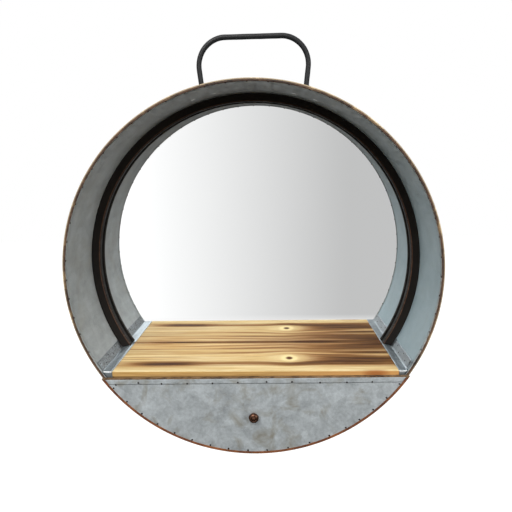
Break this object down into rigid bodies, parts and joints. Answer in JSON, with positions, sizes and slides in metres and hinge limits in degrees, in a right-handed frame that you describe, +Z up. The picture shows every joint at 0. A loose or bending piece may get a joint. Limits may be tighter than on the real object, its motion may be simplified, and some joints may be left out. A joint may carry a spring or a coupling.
{
  "type": "wall mirror with drawer",
  "caption": "Round wall mirror in a deep galvanised hoop with a wooden shelf, a drawer below it and a carrying handle on top.",
  "frame": {"origin": "centre of the hoop on the wall plane, at the back face of the backing board", "axes": "+Z up towards the handle, +X to the right seen from the front, -Y out of the wall towards the room"},
  "size_m": [0.5599, 0.1542, 0.6343],
  "materials": {
    "galvanised_sheet": "galvanised, mottled spangle",
    "rusty_edge": "rust-brown, satin",
    "dark_moulding": "near-black brown, satin",
    "mirror": "silvered",
    "backing": "raw fibreboard",
    "bent_plywood": "raw",
    "burnt_plank": "burnt softwood, satin",
    "drawer_wood": "raw plywood",
    "hardwood": "waxed",
    "gunmetal_rod": "gunmetal, satin",
    "dark_tack": "blackened steel",
    "zinc_screw": "zinc plated",
    "copper_knob": "antique copper"
  },
  "bodies": {
    "frame": {"hoop_core": "bent_plywood", "inner_skin": "galvanised_sheet", "outer_skin": "galvanised_sheet", "rim_strip": "rusty_edge", "rim_tacks": "dark_tack", "backing_board": "backing", "mirror_glass": "mirror", "board_screws": "zinc_screw", "moulding": "dark_moulding", "glass_rail": "hardwood", "hanger_left": "zinc_screw", "hanger_right": "zinc_screw", "hanger_screws": "zinc_screw", "handle_rod": "gunmetal_rod", "handle_saddle_left": "gunmetal_rod", "handle_saddle_right": "gunmetal_rod", "handle_rivets": "zinc_screw", "shelf_plank": "burnt_plank", "plank_screws": "zinc_screw", "bracket_left": "galvanised_sheet", "bracket_right": "galvanised_sheet", "bracket_tacks": "dark_tack", "cheek_left": "drawer_wood", "cheek_right": "drawer_wood", "cleat_left": "hardwood", "cleat_right": "hardwood", "runner_left": "hardwood", "runner_right": "hardwood", "cheek_screws": "zinc_screw", "runner_screws": "zinc_screw", "cleat_screws": "zinc_screw", "drawer_stop": "hardwood", "stop_screws": "zinc_screw"},
    "drawer": {"drawer_subfront": "drawer_wood", "drawer_side_left": "drawer_wood", "drawer_side_right": "drawer_wood", "drawer_back": "drawer_wood", "drawer_bottom": "drawer_wood", "box_nails": "zinc_screw", "front_screws": "zinc_screw", "front_core": "backing", "front_skin": "galvanised_sheet", "front_edging": "rusty_edge", "front_hem": "galvanised_sheet", "front_arc_tacks": "dark_tack", "front_top_tacks": "dark_tack", "knob": "copper_knob", "knob_screw": "copper_knob", "knob_washer": "zinc_screw", "knob_nut": "zinc_screw"}
  },
  "joints": [
    {"name": "drawer_slide", "type": "slide", "parent": "frame", "child": "drawer", "axis": [0, -1, 0], "range_m": [0, 0.08]}
  ]
}
